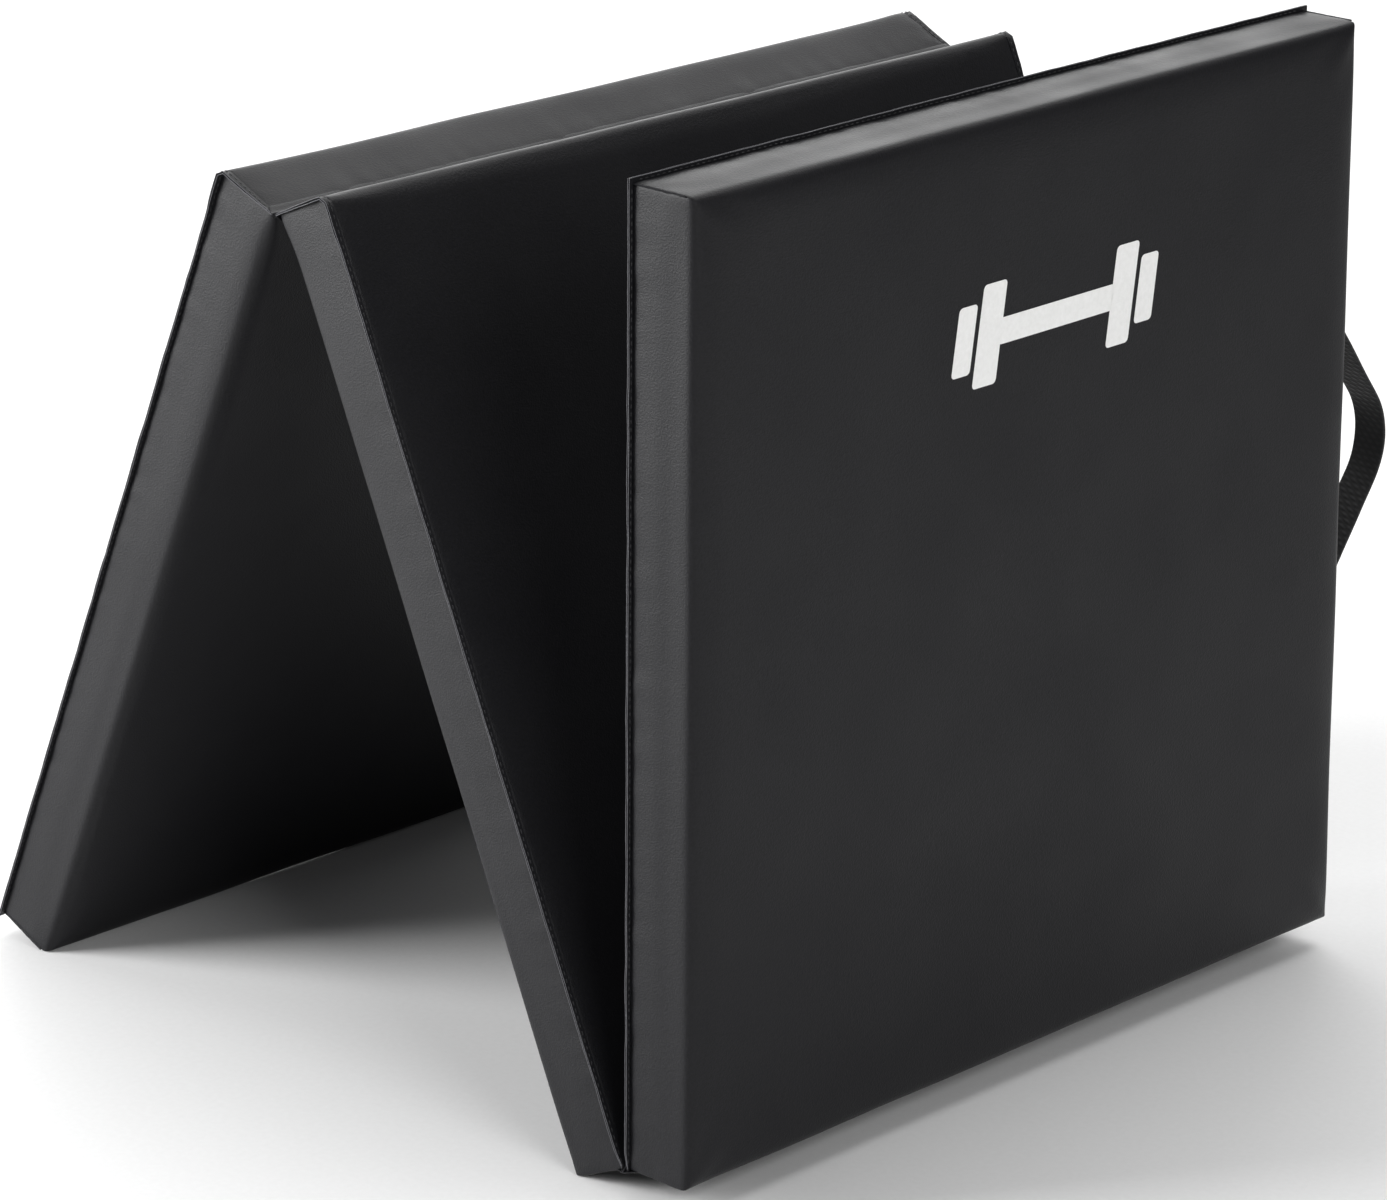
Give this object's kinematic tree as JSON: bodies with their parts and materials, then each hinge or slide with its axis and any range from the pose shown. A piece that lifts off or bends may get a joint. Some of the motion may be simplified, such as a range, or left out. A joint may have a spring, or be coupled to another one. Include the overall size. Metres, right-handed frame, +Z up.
{
  "type": "folding gym mat",
  "caption": "Folding gym mat: padded panels in a sewn cover, joined by fabric folds in a zigzag, with webbing carry handles at one end.",
  "frame": {"origin": "on the floor, at the centre of the bounding box of the mat standing half open", "axes": "+Z up; +Y along the folds, towards the end that carries the handles; +X from the back panel towards the front panel's printed face"},
  "size_m": [0.6366, 0.662, 0.6233],
  "materials": {
    "cover_cloth": "satin",
    "seam_cloth": "satin",
    "foam": "matte",
    "webbing": "matte",
    "thread": "matte",
    "print_ink": "matte"
  },
  "bodies": {
    "middle_panel": {"middle_panel_foam": "foam", "middle_panel_wrap": "cover_cloth", "middle_panel_sheet": "cover_cloth", "middle_panel_seam_lip": "seam_cloth", "upper_fold_web": "seam_cloth", "lower_fold_web": "seam_cloth"},
    "back_panel": {"back_panel_foam": "foam", "back_panel_wrap": "cover_cloth", "back_panel_sheet": "cover_cloth", "back_panel_seam_lip": "seam_cloth", "back_handle_legs": "webbing", "back_handle_tabs": "webbing", "back_handle_stitching": "thread"},
    "front_panel": {"front_panel_foam": "foam", "front_panel_wrap": "cover_cloth", "front_panel_sheet": "cover_cloth", "front_panel_seam_lip": "seam_cloth", "front_panel_print": "print_ink", "front_handle_legs": "webbing", "front_handle_tabs": "webbing", "front_handle_stitching": "thread"},
    "front_handle": {"front_handle_grip": "webbing"},
    "back_handle": {"back_handle_grip": "webbing"}
  },
  "joints": [
    {"name": "upper_fold", "type": "hinge", "parent": "middle_panel", "child": "back_panel", "pos_m": [-0.0252, -0.026, 0.54607], "axis": [0, 1, 0], "range_deg": [-48, 132], "deforming": ["upper_fold_web"]},
    {"name": "lower_fold", "type": "hinge", "parent": "middle_panel", "child": "front_panel", "pos_m": [0.26716, -0.026, 0.01727], "axis": [0, 1, 0], "range_deg": [-24, 156], "deforming": ["lower_fold_web"]},
    {"name": "front_handle_swing", "type": "hinge", "parent": "front_panel", "child": "front_handle", "pos_m": [0.29316, 0.2764, 0.33527], "axis": [0, 0, 1], "range_deg": [-50, 50], "deforming": ["front_handle_legs"]},
    {"name": "back_handle_swing", "type": "hinge", "parent": "back_panel", "child": "back_handle", "pos_m": [-0.16447, 0.2764, 0.2972], "axis": [0.4067, 0, 0.9135], "range_deg": [-50, 50], "deforming": ["back_handle_legs"]}
  ]
}
